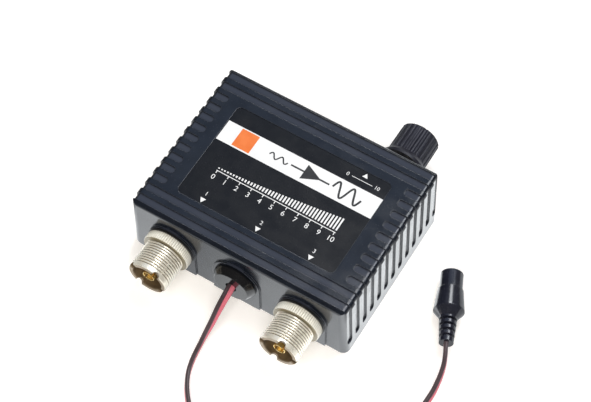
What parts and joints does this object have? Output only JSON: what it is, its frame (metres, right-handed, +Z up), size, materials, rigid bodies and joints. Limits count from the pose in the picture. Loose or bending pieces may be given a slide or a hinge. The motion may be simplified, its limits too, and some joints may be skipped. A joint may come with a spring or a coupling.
{
  "type": "rf preamplifier",
  "caption": "Small radio-frequency preamplifier: ribbed moulded case with threaded coaxial sockets on the front, a fluted gain knob at the back and a twin power lead ending in an inline jack",
  "frame": {"origin": "Middle of the underside of the case, where the unit rests", "axes": "+X runs along the front panel from the antenna socket to the receiver socket, -Y is the front with the sockets, +Z is up"},
  "size_m": [0.129, 0.1507, 0.0307],
  "materials": {
    "case_black": "moulded, lightly textured on top, glossier on the front",
    "screw_black": "blackened steel",
    "label_black": "printed film",
    "bushing_black": "smooth moulding",
    "board_green": "solder resist over glass laminate",
    "steel": "plain plated steel",
    "chip_black": "moulded epoxy",
    "ferrite": "sintered ring",
    "capacitor_sleeve": "shrink sleeve",
    "ceramic": "fired ceramic",
    "tinned_wire": "tinned copper",
    "lead_pvc": "soft insulation, one strand red and one black",
    "nickel": "nickel plate on brass",
    "gold_contact": "gold plate",
    "insulator_brown": "moulded resin",
    "washer_black": "plain black",
    "jack_black": "moulded soft plastic",
    "knob_black": "fluted moulding",
    "wiper_board": "laminate disc"
  },
  "bodies": {
    "case": {"top_cover": "case_black", "bottom_cover": "case_black", "cover_screws": "screw_black", "label_plate": "label_black", "antenna_shell": "nickel", "antenna_insulator": "insulator_brown", "antenna_contact": "gold_contact", "antenna_ring": "nickel", "antenna_washer": "washer_black", "antenna_lug": "tinned_wire", "receiver_shell": "nickel", "receiver_insulator": "insulator_brown", "receiver_contact": "gold_contact", "receiver_ring": "nickel", "receiver_washer": "washer_black", "receiver_lug": "tinned_wire", "cord_bushing": "bushing_black", "circuit_board": "board_green", "board_screws": "steel", "amplifier_chip": "chip_black", "choke_coil": "ferrite", "supply_capacitor": "capacitor_sleeve", "small_capacitors": "ceramic", "small_resistors": "chip_black", "antenna_link": "tinned_wire", "receiver_link": "tinned_wire", "supply_leads": "lead_pvc", "control_leads": "lead_pvc", "pot_body": "steel", "pot_bushing": "nickel", "pot_washer": "steel", "pot_nut": "nickel", "pot_terminals": "tinned_wire", "dc_lead": "lead_pvc", "jack_body": "jack_black", "jack_sleeve": "steel", "jack_pin": "nickel"},
    "gain_control": {"gain_knob": "knob_black", "pot_shaft": "steel", "pot_wiper": "wiper_board"}
  },
  "joints": [
    {"name": "gain_turn", "type": "hinge", "parent": "case", "child": "gain_control", "pos_m": [0.0274, 0.03435, 0.01405], "axis": [0, 1, 0], "range_deg": [-150, 150]}
  ]
}
